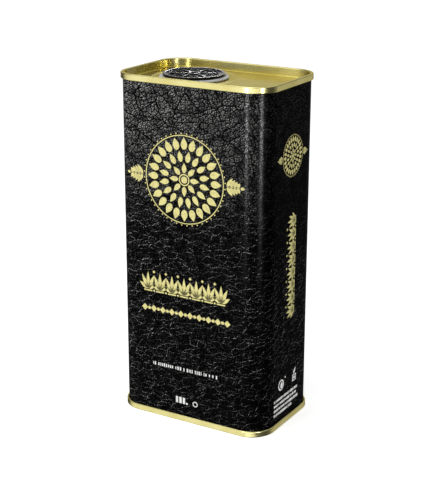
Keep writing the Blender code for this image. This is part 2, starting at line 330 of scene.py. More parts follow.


# %% [markdown]
# ## The leather print
#
# The black of the tin is flat ink that only looks like pebbled leather. Real grain is a net of
# creases between small cushions, and artwork gets the effect by lightening one side of each
# cushion. Voronoi cells give the net. Taking the cushions' height twice, the second time a little
# way towards the upper left, and subtracting leaves light only on that side. A wide net of deeper
# folds lies over the small one. Lower down, the print's light is left on long broken wrinkles
# that run up to the right. The sheet is printed flat, so the pattern reads a flat map of the sheet,
# in metres, and its two ends meet at the weld. Over the print lies painted light and shade, set by
# place on the tin and not by a lamp: the print is lighter towards the top and the left, and darker
# towards the bottom and on the right narrow side, most near that side's top.

# %% Height of the printed cushions
CUSHION = 0.0021
PIMPLE = 0.00105
FOLD = 0.0080
WRINKLE = 0.0024
WRINKLE_LEAN = math.radians(-40.0)


def cushions(finish, place):
    """The height of the leather's cushions, pimples and folds, from 0 to 1."""
    wander = finish.noise(0.0024, 2.0, 0.5, place, "Color")
    moved = finish.vector("MULTIPLY_ADD", wander, (0.0011, 0.0011, 0.0), place)
    large = finish.cells(CUSHION, "DISTANCE_TO_EDGE", moved).rise(0.035, 0.170)
    small = finish.cells(PIMPLE, "DISTANCE_TO_EDGE", moved).rise(0.03, 0.20, 0.10, 1.0)
    wide = finish.cells(FOLD, "DISTANCE_TO_EDGE", moved).rise(0.012, 0.050)
    return large * small * wide


def wrinkles(finish, place):
    """The height of long soft wrinkles that run up to the right, from 0 to 1."""
    wander = finish.noise(0.0030, 3.0, 0.6, place, "Color")
    moved = finish.vector("MULTIPLY_ADD", wander, (0.0034, 0.0034, 0.0), place)
    values = {"Vector": moved, "Rotation": (0.0, 0.0, WRINKLE_LEAN), "Scale": (0.5, 1.0, 1.0)}
    turned = finish.node("ShaderNodeMapping", None, values)["Vector"]
    return finish.cells(WRINKLE, "DISTANCE_TO_EDGE", turned).rise(0.0, 0.07)


# %% Grained black ink under satin varnish
INK_BLACK = (0.0003, 0.0003, 0.0004, 1.0)
INK_LIGHT = (1.0, 1.0, 0.98, 1.0)

grained = Finish("grained_black_print_and_painted_light", Specular_IOR_Level=0.010)
sheet_map = grained.node("ShaderNodeUVMap", {"uv_map": "flat_sheet"})["UV"]
here = cushions(grained, sheet_map)
up_left = grained.vector("ADD", sheet_map, (-0.00018, 0.00024, 0.0))
lit_side = (here - cushions(grained, up_left)).rise(0.22, 0.90)
ridge = (wrinkles(grained, sheet_map) - wrinkles(grained, up_left)).rise(0.35, 1.0)

patches = grained.noise(0.0046, 3.0, 0.6, sheet_map).rise(0.38, 0.60, 0.10, 1.0)
speckle = grained.noise(0.00045, 2.0, 0.6, sheet_map).rise(0.40, 0.60, 0.16, 1.0)
glints = grained.noise(0.00060, 2.0, 0.6, sheet_map).rise(0.46, 0.62, 0.03, 1.0)
each = grained.cells(CUSHION * 0.8, "F1", sheet_map, "Color").rise(0.2, 0.8, 0.45, 1.3)

# Painted light and shade, set by place on the tin and not by a lamp: lighter towards the top and
# the left, darker towards the bottom and on the right narrow side. The first ramp also moves the
# print from wrinkles low down to cushions higher up.
upper_print_and_painted_light = grained.along["Z"].rise(0.086, 0.146)
painted_shade_towards_bottom = grained.along["Z"].rise(0.0, 0.090, 0.70, 1.0)
painted_light_towards_left = grained.along["X"].rise(-0.036, 0.030, 1.25, 0.80)
painted_shade_right_side = grained.along["X"].rise(0.030, 0.0360) * grained.along["Z"].rise(0.040, 0.105, 0.20, 0.88)

tops = here * speckle * each * (0.0008 + upper_print_and_painted_light * 0.102)
strokes = lit_side * patches * speckle * (0.070 + upper_print_and_painted_light * 0.42)
strokes = strokes + ridge * glints * patches * (0.62 - upper_print_and_painted_light * 0.52)
# The print's own light, times the painted light and shade.
light = (tops + strokes) * painted_light_towards_left * painted_shade_towards_bottom * (1.0 - painted_shade_right_side)
grained.set(Base_Color=grained.mix(light, INK_BLACK, INK_LIGHT))
gloss_drift = grained.noise(0.009, 3.0, 0.6)
grained.set(Roughness=gloss_drift.rise(0.3, 0.7, 0.16, 0.22) - here * 0.03)
grained.bump(here * 0.5 + grained.noise(0.0004, 2.0) * 0.5, 0.000008)
print("grained print:", len(grained.tree.nodes), "nodes")

# %% [markdown]
# ## Gold lacquer, inks and plastics
#
# The ends are tinplate under a clear yellow lacquer, so they are metal with a yellow tint, and
# the light on them runs in soft streaks. Rolling leaves fine lines, and handling leaves faint rubs.
# The light inks of the ornament are opaque, and their film is a little uneven.

# %% Gold lacquer on steel
gold = Finish("gold_lacquer", Metallic=1.0, Specular_Tint=(0.88, 0.80, 0.52, 1.0))
cloud = gold.noise(0.012, 3.0, 0.6)
lines = gold.noise(0.0009, 2.0, 0.6, gold.stretched(0.12, 1.0, 1.0))
rubs = gold.noise(0.0030, 5.0, 0.7).rise(0.58, 0.74)
tint = gold.mix(cloud.rise(0.3, 0.7), (0.74, 0.66, 0.26, 1.0), (0.84, 0.77, 0.36, 1.0))
gold.set(Base_Color=gold.mix(rubs * 0.20, tint, (0.54, 0.44, 0.16, 1.0)))
gold.set(Roughness=0.20 + cloud * 0.06 + rubs * 0.04)
gold.bump(gold.noise(0.0030, 3.0, 0.5) * 0.7 + lines * 0.3, 0.0000015)
print("gold lacquer:", len(gold.tree.nodes), "nodes")

# %% Opaque inks
def opaque_ink(name, thin, full, gloss):
    """Ink whose film is a little uneven."""
    made = Finish(name, Specular_IOR_Level=0.25)
    film = made.noise(0.0011, 4.0, 0.65).rise(0.30, 0.62)
    made.set(Base_Color=made.mix(film, thin, full))
    made.set(Roughness=made.noise(0.004, 2.0).rise(0.3, 0.7, gloss, gloss + 0.1))
    made.bump(made.noise(0.0004, 2.0), 0.000012)
    return made


pale_gold_ink = opaque_ink(
    "pale_gold_ink", (0.56, 0.50, 0.20, 1.0), (0.74, 0.68, 0.27, 1.0), 0.42
)
white_ink = opaque_ink("white_ink", (0.62, 0.62, 0.60, 1.0), (0.84, 0.84, 0.82, 1.0), 0.42)
print("inks:", pale_gold_ink.material.name, white_ink.material.name)

# %% Plastics, weld and lining compound
natural = Finish("natural_plastic", Subsurface_Weight=0.15, Subsurface_Scale=0.002)
haze = natural.noise(0.006, 3.0, 0.6)
natural.set(Base_Color=natural.mix(haze, (0.50, 0.51, 0.53, 1.0), (0.62, 0.63, 0.65, 1.0)))
natural.set(Roughness=haze.rise(0.3, 0.7, 0.34, 0.46))
natural.bump(natural.noise(0.0005, 3.0), 0.000010)

black_plastic = Finish("black_plastic", Specular_IOR_Level=0.26)
dust = black_plastic.noise(0.0007, 4.0, 0.7).rise(0.60, 0.78)
swirl = black_plastic.noise(0.005, 3.0, 0.6)
black_plastic.set(
    Base_Color=black_plastic.mix(dust * 0.15, (0.003, 0.003, 0.0035, 1.0), (0.16, 0.15, 0.14, 1.0))
)
black_plastic.set(Roughness=0.12 + swirl * 0.10 + dust * 0.25)
black_plastic.bump(black_plastic.noise(0.0016, 2.0) * 0.8 + dust * 0.2, 0.000035)

weld = Finish("weld_lacquer", Metallic=0.75, Specular_IOR_Level=0.4)
nuggets = weld.noise(0.0008, 2.0, 0.5, weld.stretched(1.0, 0.3, 1.0))
weld.set(Base_Color=weld.mix(nuggets, (0.05, 0.045, 0.035, 1.0), (0.16, 0.14, 0.10, 1.0)))
weld.set(Roughness=nuggets.rise(0.3, 0.7, 0.30, 0.50))
weld.bump(nuggets, 0.000040)

lining = Finish("lining_compound", Specular_IOR_Level=0.3)
lumps = lining.noise(0.0010, 3.0, 0.6)
lining.set(Base_Color=lining.mix(lumps, (0.26, 0.25, 0.22, 1.0), (0.42, 0.40, 0.36, 1.0)))
lining.set(Roughness=lumps.rise(0.3, 0.7, 0.60, 0.80))
lining.bump(lumps, 0.000030)
for name in ("top_seam_compound", "bottom_seam_compound"):
    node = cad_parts[name]
    for holder in node.material_slots:
        holder.material = lining.material
    print(name, "has the lining compound")

# %% [markdown]
# ## Carrying a section round the tin
#
# The body and both ends have the same outline: a rectangle with round corners. A section drawn
# once, as pairs of outset from the body's face and height, is spun about one corner's axis, run
# out along half of each side, and mirrored twice. Spinning keeps the corner's rows even, and the
# short first stretch after each corner keeps the shading of the flat from pulling on the curve.

# %% Corner, sides and mirrors
CORNER_STEPS = 20


def run_out(bm, edges, way):
    """Extrudes edges a short and then a long way."""
    for move in (way.normalized() * 0.0005, way - way.normalized() * 0.0005):
        grown = bmesh.ops.extrude_edge_only(bm, edges=edges)["geom"]
        verts = parts(grown, bmesh.types.BMVert)
        bmesh.ops.translate(bm, verts=verts, vec=move)
        edges = [
            edge
            for edge in parts(grown, bmesh.types.BMEdge)
            if edge.verts[0] in verts and edge.verts[1] in verts
        ]


def carry_round(section):
    """Carries a section of (outset, height) round the whole outline."""
    bm = bmesh.new()
    turn = Vector((HALF_X - CORNER, HALF_Y - CORNER, 0.0))
    first = chain(bm, [(HALF_X + outset, turn.y, height) for outset, height in section])
    spun = bmesh.ops.spin(
        bm, geom=first, cent=turn, axis=(0.0, 0.0, 1.0), angle=math.pi / 2, steps=CORNER_STEPS
    )
    run_out(bm, parts(first, bmesh.types.BMEdge), Vector((0.0, -turn.y, 0.0)))
    run_out(bm, parts(spun["geom_last"], bmesh.types.BMEdge), Vector((-turn.x, 0.0, 0.0)))
    for axis in "XY":
        bmesh.ops.mirror(
            bm, geom=everything(bm), matrix=Matrix(), merge_dist=TOUCHING, axis=axis
        )
    tidy(bm)
    return bm


# %% [markdown]
# ## The body and its weld
#
# The body's sheet turns outwards at both ends and hooks down under the cover's hook, which is
# what holds a double seam together. The wall between is plain. The weld where the sheet meets
# itself is a narrow raised lap, kept to the least seen side, under its own dark lacquer.

# %% The sheet's flat map
WELD_Y = 0.0100
QUARTER = CORNER * math.pi / 2


def way_round(x, y):
    """The distance along the wall from the middle of the front face, by the nearer way."""
    along, across = abs(x) - (HALF_X - CORNER), y + HALF_Y - CORNER
    depth = 2 * (HALF_Y - CORNER)
    if along > 0.0 and across < 0.0:
        return abs(x) - along + CORNER * math.atan2(along, -across)
    if along > 0.0 and across > depth:
        return HALF_X - CORNER + QUARTER + depth + CORNER * math.atan2(across - depth, along)
    if along > 0.0:
        return HALF_X - CORNER + QUARTER + across
    return abs(x) if y < 0.0 else HALF_X - CORNER + 2 * QUARTER + depth - along - 1e-9


def lay_flat(item):
    """Maps the sheet in metres, as it lies flat before it is bent and welded."""
    full = 4 * (HALF_X + HALF_Y - 2 * CORNER + QUARTER)
    mapping = item.data.uv_layers.new(name="flat_sheet")
    for face in item.data.polygons:
        beyond = face.center.x < 0.0 and face.center.y > WELD_Y
        for index in face.loop_indices:
            x, y, z = item.data.vertices[item.data.loops[index].vertex_index].co
            distance = way_round(x, y)
            if face.center.x < 0.0:
                distance = full - distance if beyond else -distance
            mapping.uv[index].vector = (distance, z)
    print(f"the flat sheet is {full * 1000:.1f} mm long")


# %% Body wall
MIDDLE = -SHEET / 2
ARCH_DEPTH = 2 * LAYER + SHEET / 2
HOOK_CLEARANCE = 0.0003

hook = [(MIDDLE + 2 * LAYER, SEAM_HEIGHT - SHEET - HOOK_CLEARANCE)]
hook += arc((MIDDLE + LAYER, ARCH_DEPTH), LAYER, 0, -180, 12)
section = [(outset, HEIGHT - depth) for outset, depth in hook]
section += [(MIDDLE, HEIGHT * share / 12) for share in range(11, 0, -1)]
section += hook[::-1]
bm = carry_round(section)
bmesh.ops.bisect_plane(
    bm, geom=everything(bm), dist=1e-7, plane_co=(0.0, WELD_Y, 0.0), plane_no=(0.0, 1.0, 0.0)
)
wall = new_object("body_wall", bm)
thicken(wall, SHEET, 0.0)
lay_flat(wall)
finish_piece(wall, grained, "tin", "body_shell")

# %% Welded side lap
bm = bmesh.new()
bmesh.ops.create_cube(bm, size=1.0)
lap = (0.0002, 0.0010, HEIGHT - 2 * SEAM_HEIGHT - 0.0006)
bmesh.ops.scale(bm, vec=lap, verts=bm.verts)
bmesh.ops.translate(bm, vec=(-HALF_X, WELD_Y, HEIGHT / 2), verts=bm.verts)
bmesh.ops.bevel(
    bm, geom=bm.edges[:], offset=0.00006, segments=2, profile=0.5, affect="EDGES", material=-1
)
finish_piece(new_object("side_lap", bm), weld, "tin")

# %% [markdown]
# ## The two ends
#
# Each end is one pressed sheet. Its rim curls down outside the body, comes back over the crest of
# the seam, drops down the chuck wall, and turns up from a narrow groove to a flat panel. The top
# panel has a bead and a turned-down lip round the hole, spun about the closure's own axis, and the
# flat between is filled from edge to edge.

# %% Section of an end
CREST = 0.00032
GROOVE = 0.00038
CHUCK = MIDDLE - LAYER
PANEL_DEPTH = HEIGHT - PANEL + SHEET / 2
GROOVE_DEPTH = PANEL_DEPTH + 0.0005


def end_section():
    """The sheet of an end as (outset, depth from the crest)."""
    outer = MIDDLE + 3 * LAYER
    curl = SEAM_HEIGHT - SHEET / 2 - LAYER
    points = [(MIDDLE + LAYER, ARCH_DEPTH + 0.000325)]
    points += arc((MIDDLE + 2 * LAYER, curl), LAYER, 180, 0, 12)
    points += [(outer - 0.00004, curl * 0.7), (outer - 0.00004, curl * 0.4)]
    points += arc((outer - CREST, SHEET / 2 + CREST), CREST, 0, -90, 7)
    points += arc((CHUCK + CREST, SHEET / 2 + CREST), CREST, -90, -180, 7)
    foot = CHUCK - 0.00012
    points += arc((foot - GROOVE, GROOVE_DEPTH - GROOVE), GROOVE, 0, 90, 8)
    for step in range(9):
        rise = (1 - math.cos(math.pi * step / 8)) / 2
        depth = GROOVE_DEPTH - (GROOVE_DEPTH - PANEL_DEPTH) * rise
        points.append((foot - 1.6 * GROOVE - 0.0009 * step / 8, depth))
    return points


# %% Turning a section about an axis
def spin_round(bm, points, steps, centre):
    """Spins a section of (radius, height) all the way round a vertical axis."""
    made = chain(bm, [(centre.x + radius, centre.y, height) for radius, height in points])
    bmesh.ops.spin(
        bm, geom=made, cent=centre, axis=(0.0, 0.0, 1.0), angle=2 * math.pi, steps=steps,
        use_merge=True,
    )


# %% Top end
BASE_RADIUS = (collar_high.x - collar_low.x) / 2
HOLE = BASE_RADIUS - 0.00265
LIP = HOLE + SHEET / 2
LIP_BEND = 0.0005
BEAD_RADIUS = HOLE + 0.0061
BEAD_WIDTH = 0.0026
BEAD_HEIGHT = 0.00035
flat = HEIGHT - PANEL_DEPTH

bm = carry_round([(outset, HEIGHT - depth) for outset, depth in end_section()])
bead = []
for step in range(15):
    radius = BEAD_RADIUS + BEAD_WIDTH * (0.5 - step / 14)
    bead.append((radius, flat + BEAD_HEIGHT * math.sin(math.pi * step / 14) ** 2))
bead += arc((LIP + LIP_BEND, flat - LIP_BEND), LIP_BEND, 90, 180, 6) + [(LIP, PANEL - 0.0009)]
spin_round(bm, bead, 96, AXIS)
bmesh.ops.remove_doubles(bm, verts=bm.verts, dist=TOUCHING)
bmesh.ops.triangle_fill(bm, edges=open_edges(bm, flat), use_beauty=True)
tidy(bm)
top_end = new_object("top_end_sheet", bm)
thicken(top_end, SHEET, 0.0)
finish_piece(top_end, gold, "tin", "top_end")
print(f"hole {HOLE * 2000:.1f} mm across in the panel")

# %% Bottom end
section = end_section()
inner = section[-1]
section += [(-0.0060, inner[1]), (-0.0063, inner[1] + 0.00006), (-0.0067, inner[1] + 0.00034)]
section += [(-0.0070, inner[1] + 0.0004)]
bm = carry_round(section)
bmesh.ops.triangle_fill(bm, edges=open_edges(bm, section[-1][1]), use_beauty=True)
tidy(bm)
bottom_end = new_object("bottom_end_sheet", bm)
thicken(bottom_end, SHEET, 0.0)
finish_piece(bottom_end, gold, "tin", "bottom_end")

# %% [markdown]
# ## The sifter
#
# A collar of natural plastic snaps into the hole of the panel, and a black dial snaps into the
# collar. Both have six holes on one circle, half a pitch apart when closed. Round shapes are spun
# from sections, and the flats between rim, hub and holes are filled from edge to edge, so that
# the holes are real and need no cutting.

# %% Plates with holes
HOLES = 6
HOLE_CIRCLE = HOLE - 0.00495
SIFT = 0.0015
STEM = 0.00155
CLEARANCE = 0.0002


def spin_holes(bm, points, first_angle):
    """Spins a section of (radius, height) about each sifter hole's own axis."""
    for index in range(HOLES):
        angle = first_angle + 2 * math.pi * index / HOLES
        way = Vector((math.cos(angle), math.sin(angle), 0.0))
        spin_round(bm, points, 24, AXIS + way * HOLE_CIRCLE)


def fill_flats(bm, *heights):
    """Fills between all open rims at each height."""
    bmesh.ops.remove_doubles(bm, verts=bm.verts, dist=TOUCHING)
    for height in heights:
        bmesh.ops.triangle_fill(bm, edges=open_edges(bm, height), use_beauty=True)
    tidy(bm)


# %% Collar
SHOULDER_WIDTH = 0.00115
SKIRT_WALL = 0.00095
SKIRT_DROP = 0.0045
shoulder = BASE_RADIUS - SHOULDER_WIDTH
skirt = HOLE - CLEARANCE
deck_top = PANEL + DECK_RISE
deck_under = deck_top - 0.0012

bm = bmesh.new()
points = [(shoulder - 0.0008, deck_top)]
for x, z in arc((0.0, 0.0), 1.0, 90, 0, 10):
    points.append((shoulder + SHOULDER_WIDTH * x, PANEL + 0.0004 + 0.0006 * z))
points += [(BASE_RADIUS, PANEL + 0.0002), (skirt, PANEL + 0.0002), (skirt, PANEL - 0.0011)]
points += [(skirt + 0.0008, PANEL - 0.0015), (skirt, PANEL - 0.0023), (skirt, PANEL - SKIRT_DROP)]
points += [(skirt - SKIRT_WALL, PANEL - SKIRT_DROP), (skirt - SKIRT_WALL, deck_under)]
spin_round(bm, points, 96, AXIS)
points = [(SIFT + 0.00008, deck_top), (SIFT, deck_top - 0.00008), (SIFT, deck_under)]
spin_holes(bm, points, math.pi / HOLES)
spin_round(bm, [(STEM + CLEARANCE, deck_top), (STEM + CLEARANCE, deck_under)], 32, AXIS)
fill_flats(bm, deck_top, deck_under)
finish_piece(new_object("sifter_collar", bm), natural, "tin", "closure_base")

# %% Dial: rim, holes, hub and stem
dial_radius = (dial_high.x - dial_low.x) / 2
under = deck_top + CLEARANCE
face = under + 0.00028
raised = under + 0.0008
crown = dial_high.z
slope = dial_radius - 0.0012

bm = bmesh.new()
points = [(slope - 0.0021, face), (slope - 0.0020, face + 0.00012)]
points += arc((slope - 0.0016, raised - 0.00030), 0.00030, 170, 10, 6)
points += [(slope - 0.0012, face + 0.00008), (slope - 0.0005, face + 0.00006)]
points += [(slope - 0.00012, crown - 0.00012), (slope, crown - 0.00003), (slope + 0.00008, crown)]
points += arc((dial_radius - 0.00026, crown - 0.00026), 0.00026, 90, 0, 5)
points += [(dial_radius, under + 0.0001), (dial_radius - 0.0001, under)]
spin_round(bm, points, 96, AXIS)
lip = raised - 0.00008
points = [(SIFT + 0.00060, face), (SIFT + 0.00050, lip - 0.00012), (SIFT + 0.0004, lip)]
points += [(SIFT + 0.00012, lip), (SIFT, lip - 0.00012), (SIFT, under)]
spin_holes(bm, points, 0.0)

# the hub, then the stem with its barb
points = [(0.0, raised - 0.00035), (0.0011, raised - 0.00035), (0.0014, raised - 0.00025)]
points += [(0.0017, raised + 0.00008), (0.0020, raised + 0.00014), (0.0027, raised + 0.00014)]
points += [(0.0030, raised), (0.0032, face)]
spin_round(bm, points, 48, AXIS)
barb = STEM + 0.0006
tip = deck_under - 0.0014
points = [(STEM, under), (STEM, deck_under - CLEARANCE), (barb, deck_under - CLEARANCE)]
points += [(barb, deck_under - 0.0006), (STEM - 0.0003, tip), (0.0, tip)]
spin_round(bm, points, 32, AXIS)
fill_flats(bm, face, under)

# %% Dial: ribs between the holes
RIB_START = 0.0028
RIB_WIDTH = 0.0009
RIB_HEIGHT = 0.0005

reach = slope - 0.0018 - RIB_START
for index in range(HOLES):
    made = bmesh.ops.create_cube(bm, size=1.0)["verts"]
    bmesh.ops.scale(bm, vec=(reach, RIB_WIDTH, RIB_HEIGHT), verts=made)
    tops = dict.fromkeys(
        edge
        for vert in made
        for edge in vert.link_edges
        if min(point.co.z for point in edge.verts) > 0.0
    )
    middle = Vector((RIB_START + reach / 2, 0.0, raised - RIB_HEIGHT / 2))
    bmesh.ops.translate(bm, vec=middle, verts=made)
    spin = Matrix.Rotation(math.pi * (2 * index + 1) / HOLES, 3, "Z")
    bmesh.ops.rotate(bm, cent=(0.0, 0.0, 0.0), matrix=spin, verts=made)
    bmesh.ops.translate(bm, vec=AXIS, verts=made)
    bmesh.ops.bevel(
        bm, geom=list(tops), offset=0.00015, segments=3, profile=0.5, affect="EDGES", material=-1
    )
dial_face = new_object("sifter_dial_face", bm)
finish_piece(dial_face, black_plastic, "dial", "sifter_dial")

# %% [markdown]
# ## Ornament: flat ink shapes
#
# The light ink makes a flower medallion with sprays of leaves, a frieze of palmettes, and rows of
# small marks. Each shape starts as a flat circle, a ring or a bar in the plane of the artwork,
# with x along the face and y up the tin, and is pinched, turned and moved into place. An inset
# turns a plain leaf into an outline with a core, which reads as fine engraving.

# %% Flat ink shapes
def place_shape(bm, verts, at, angle):
    """Turns a shape about its foot and moves the foot to a place."""
    bmesh.ops.rotate(
        bm, cent=(0.0, 0.0, 0.0), matrix=Matrix.Rotation(angle - math.pi / 2, 3, "Z"), verts=verts
    )
    bmesh.ops.translate(bm, vec=(at[0], at[1], 0.0), verts=verts)


def petal(bm, at, angle, length, width, line=0.0, blunt=0.0):
    """A leaf that grows from a place at an angle, with an engraved line if one is given."""
    verts = bmesh.ops.create_circle(bm, cap_ends=True, segments=20, radius=0.5)["verts"]
    for vert in verts:
        share = vert.co.y + 0.5
        vert.co.x *= width * (1.0 - (1.0 - blunt) * share ** 3) * 1.12
        vert.co.y = share * length
    if line:
        face = verts[0].link_faces[0]
        for _ in range(2):
            bmesh.ops.inset_region(bm, faces=[face], thickness=line, use_even_offset=True)
        rims = [near for edge in face.edges for near in edge.link_faces if near != face]
        bmesh.ops.delete(bm, geom=list(dict.fromkeys(rims)), context="FACES")
        verts = list(set(connected(verts)) | set(connected(face.verts)))
    place_shape(bm, verts, at, angle)


def connected(verts):
    """All vertices that edges join to the given ones."""
    found, waiting = set(verts), list(verts)
    while waiting:
        for edge in waiting.pop().link_edges:
            for vert in edge.verts:
                if vert not in found:
                    found.add(vert)
                    waiting.append(vert)
    return found


def disc(bm, at, radius):
    verts = bmesh.ops.create_circle(bm, cap_ends=True, segments=16, radius=radius)["verts"]
    place_shape(bm, verts, at, 0.0)


def ring(bm, at, radius, width, steps=48):
    made = chain(bm, [(at[0] + radius, at[1], 0.0), (at[0] + radius + width, at[1], 0.0)])
    bmesh.ops.spin(
        bm, geom=made, cent=(at[0], at[1], 0.0), axis=(0.0, 0.0, 1.0), angle=2 * math.pi,
        steps=steps, use_merge=True,
    )


def bar(bm, at, width, height, lean=0.0):
    """A bar, or with equal sides and a lean of 45 degrees, a lozenge."""
    verts = bmesh.ops.create_grid(bm, x_segments=1, y_segments=1, size=0.5)["verts"]
    bmesh.ops.scale(bm, vec=(width, height, 1.0), verts=verts)
    place_shape(bm, verts, at, math.pi / 2 + lean)


# %% Medallion with sprays of leaves
TIERS = (
    (8, 0.0030, 0.0044, 0.0022, 0.0),  # petals, their start, length and width, and the turn
    (16, 0.0078, 0.0048, 0.0024, 0.5),
    (24, 0.0130, 0.0052, 0.0030, 0.0),
)


def medallion(bm, at, size):
    """A many-petalled flower in two rings, with a spray on each side; size 1 is full size."""
    x, y = at
    for radius, width in ((0.0021, 0.0005), (0.0188, 0.0004)):
        ring(bm, at, radius * size, width * size)
    disc(bm, at, 0.0015 * size)
    for count, start, length, width, offset in TIERS:
        for index in range(count):
            angle = 2 * math.pi * (index + offset) / count
            foot = (x + start * size * math.cos(angle), y + start * size * math.sin(angle))
            petal(bm, foot, angle, length * size, width * size, 0.00032 * size)
    far = 0.0198 * size
    for index in range(48):
        angle = 2 * math.pi * (index + 0.5) / 48
        disc(bm, (x + far * math.cos(angle), y + far * math.sin(angle)), 0.00030 * size)
    for side in (-1, 1):
        spray(bm, (x + side * 0.0206 * size, y), side, 0.72 * size)


def spray(bm, at, side, size):
    """A short stem with pairs of leaves and a bud."""
    outward = 0.0 if side > 0 else math.pi
    for step in range(4):
        x = at[0] + side * size * (0.0002 + 0.0022 * step)
        reach = size * (0.0062 - 0.0010 * step)
        for lean in (0.95, -0.95):
            foot = (x, at[1] + math.copysign(0.0004 * size, lean))
            petal(bm, foot, outward + side * lean, reach, 0.0023 * size, 0.00028 * size)
    petal(bm, (at[0] + side * 0.0090 * size, at[1]), outward, 0.0030 * size, 0.0018 * size)
    bar(bm, (at[0] + side * 0.0042 * size, at[1]), 0.0088 * size, 0.0003 * size)


# %% Friezes and rows
FAN = ((0.0, 0.0078), (0.42, 0.0070), (-0.42, 0.0070), (0.95, 0.0046), (-0.95, 0.0046))


def palmette(bm, at, along, size):
    """A fan of five leaves on a small bar; along is the direction in which the fan stands."""
    up = Vector((math.cos(along), math.sin(along)))
    across = Vector((up.y, -up.x))
    foot = Vector(at)
    for lean, length in FAN:
        start = foot + up * (0.0011 * size) + across * (0.0006 * size * lean)
        petal(bm, start, along - lean, length * size, 0.0017 * size, 0.0, 0.1)
    bar(bm, foot + up * (0.0003 * size), 0.0042 * size, 0.0006 * size, along - math.pi / 2)


def frieze(bm, at, length, size, along, count):
    """Palmettes in a row with lozenges between their heads."""
    up = Vector((math.cos(along), math.sin(along)))
    across = Vector((up.y, -up.x))
    step = length / count
    for index in range(count):
        place = step * (index - (count - 1) / 2)
        foot = Vector(at) + across * place - up * (0.0049 * size)
        palmette(bm, foot, along, size)
        if index < count - 1:
            head = foot + across * (step / 2)
            for height, side in ((0.0091, 0.0010), (0.0004, 0.0008)):
                bar(bm, head + up * (height * size), side * size, side * size, math.pi / 4 + along)


def beaded_row(bm, start, end, y, height, count):
    """Lozenges with discs between them."""
    for index in range(count):
        x = start + (end - start) * (index + 0.5) / count
        if index % 2:
            disc(bm, (x, y), height * 0.18)
        else:
            bar(bm, (x, y), height * 0.52, height * 0.52, math.pi / 4)


def dash_row(bm, start, end, y, height, dice, weight=1.0):
    """Short upright bars with small gaps; weight widens them."""
    x = start
    while x < end:
        width = height * dice.choice((0.20, 0.28, 0.40)) * weight
        bar(bm, (x + width / 2, y), width, height * dice.choice((0.8, 1.0)))
        x += width + height * dice.choice((0.22, 0.26, 0.26, 0.30, 0.30, 0.75)) / weight


# %% [markdown]
# ## Bending the ink round the tin
#
# The artwork is drawn flat and then laid on the body. Beyond the flat of a face it has to follow
# the round corner, so the shapes are first cut across at several places there, and every vertex
# further out than the flat is turned about the corner's axis by its distance along the surface. A
# film of ink has no visible thickness, so the shapes are thickened by a few hundredths of a
# millimetre and sink a little into the wall.

# %% Lay flat artwork on one face
FILM = 0.00003  # how far the ink's face stands out from the wall
INK = 0.00004
BEND_STEP = 0.0012


def lay_on_face(bm, half_flat, reach, turn):
    """Bends flat artwork onto the face that is reach from the axis, turned about it."""
    for side in (-1, 1):
        for step in range(7):
            bmesh.ops.bisect_plane(
                bm, geom=everything(bm), dist=1e-7, plane_no=(side, 0.0, 0.0),
                plane_co=(side * (half_flat + step * BEND_STEP), 0.0, 0.0),
            )
    backs = [face for face in bm.faces if face.normal.z < 0.0]
    bmesh.ops.reverse_faces(bm, faces=backs)
    for vert in bm.verts:
        u, v = vert.co.x, vert.co.y
        over = max(abs(u) - half_flat, 0.0)
        angle = over / CORNER
        x = min(abs(u), half_flat) + (CORNER + FILM) * math.sin(angle)
        y = reach - CORNER + (CORNER + FILM) * math.cos(angle)
        vert.co = (math.copysign(x, u), -y, v)
    bmesh.ops.rotate(
        bm, cent=(0.0, 0.0, 0.0), matrix=Matrix.Rotation(turn, 3, "Z"), verts=bm.verts
    )


def print_on(artwork, half_flat, reach, turn, film):
    """Adds artwork, laid on a face, to the bmesh of an ink film."""
    bm = bmesh.new()
    artwork(bm)
    bm.normal_update()
    lay_on_face(bm, half_flat, reach, turn)
    mesh = bpy.data.meshes.new("artwork")
    bm.to_mesh(mesh)
    bm.free()
    film.from_mesh(mesh)
    bpy.data.meshes.remove(mesh)


# %% Artwork of the faces
def front_gold(bm):
    medallion(bm, (-0.0016, 0.1108), 1.0)
    frieze(bm, (-0.0020, 0.0632), 0.0430, 1.0, math.pi / 2, 7)
    beaded_row(bm, -0.0234, 0.0207, 0.0505, 0.0042, 19)


def front_white(bm):
    dice = random.Random(3)
    dash_row(bm, -0.0183, 0.0146, 0.0246, 0.0016, dice)
    for x in (-0.0060, -0.0042, -0.0024):
        bar(bm, (x, 0.0096), 0.0012, 0.0030)
    disc(bm, (-0.0009, 0.0085), 0.0005)
    ring(bm, (0.0034, 0.0092), 0.0009, 0.0004, 20)


def side_gold(bm):
    medallion(bm, (0.0006, 0.1210), 0.46)
    frieze(bm, (0.0005, 0.0721), 0.0466, 0.85, math.pi, 8)


def side_white(bm):
    dice = random.Random(8)
    ring(bm, (-0.0061, 0.0193), 0.0019, 0.0006, 28)
    petal(bm, (-0.0061, 0.0178), 1.25, 0.0031, 0.0019)
    disc(bm, (-0.0024, 0.0218), 0.0004)
    for x, y, width, height in (
        (0.0048, 0.0184, 0.0004, 0.0030), (0.0078, 0.0184, 0.0004, 0.0030),
        (0.0063, 0.0197, 0.0026, 0.0004), (0.0063, 0.0171, 0.0026, 0.0004),
        (0.0063, 0.0184, 0.0012, 0.0012),
    ):
        bar(bm, (x, y), width, height)
    petal(bm, (0.0056, 0.0204), 0.95, 0.0034, 0.0011)
    for y, end in ((0.0131, 0.0094), (0.0109, 0.0078), (0.0087, 0.0096), (0.0065, 0.0040)):
        dash_row(bm, -0.0124, end, y, 0.0013, dice, 1.4)


def back_white(bm):
    dice = random.Random(5)
    for row in range(5):
        dash_row(bm, -0.0180, 0.0170 - 0.003 * (row % 2), 0.0290 - 0.0034 * row, 0.0014, dice, 1.2)


def left_white(bm):
    dice = random.Random(9)
    for row in range(3):
        dash_row(bm, -0.0070, 0.0110, 0.0180 - 0.0030 * row, 0.0012, dice, 1.3)


